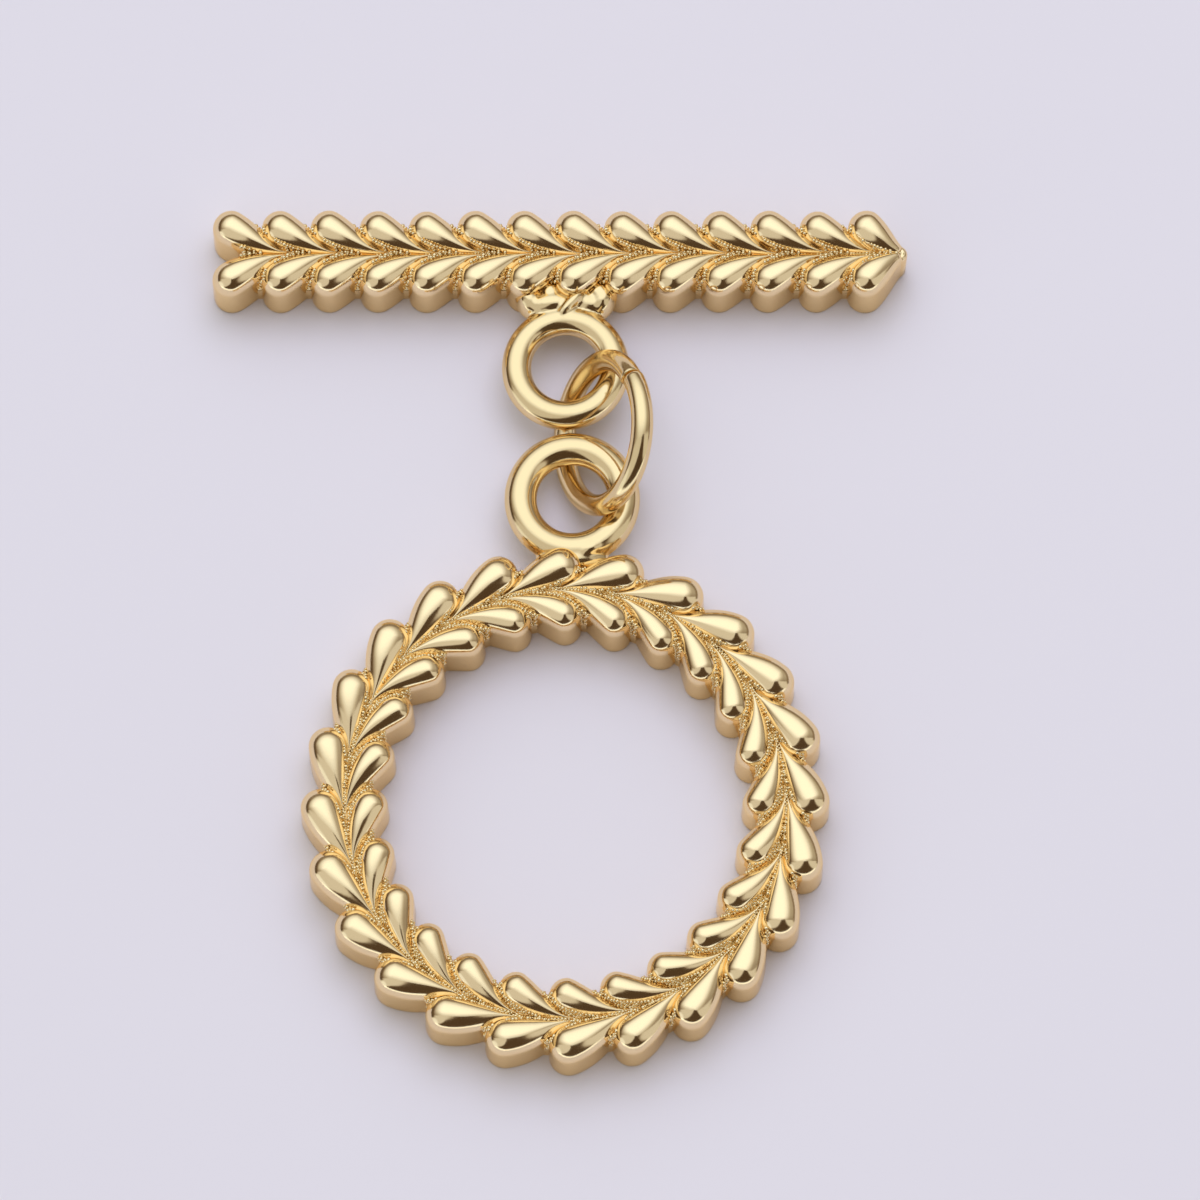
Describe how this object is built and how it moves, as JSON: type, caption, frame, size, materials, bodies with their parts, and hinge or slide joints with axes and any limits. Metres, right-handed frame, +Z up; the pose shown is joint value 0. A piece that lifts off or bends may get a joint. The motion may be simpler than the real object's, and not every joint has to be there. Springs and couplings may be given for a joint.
{
  "type": "toggle clasp",
  "caption": "Toggle clasp: a leaf-relief wreath ring and a matching straight bar, each with a round-wire eye, linked by an open jump ring.",
  "frame": {"origin": "middle of the wreath ring's opening, on the plane of the flat backs that the clasp lies on", "axes": "+Z up out of the leaf faces, +Y from the wreath towards the bar, +X along the bar towards its arrow tip"},
  "size_m": [0.0209, 0.026, 0.0043],
  "materials": {
    "plated_casting": "polished bright gold plate on cast brass, with rough cast grain in the grooves between the leaves",
    "plated_wire": "polished bright gold plate on drawn brass wire"
  },
  "bodies": {
    "root": {"toggle_ring": "plated_casting", "toggle_bar": "plated_casting", "jump_ring": "plated_wire"}
  },
  "joints": []
}
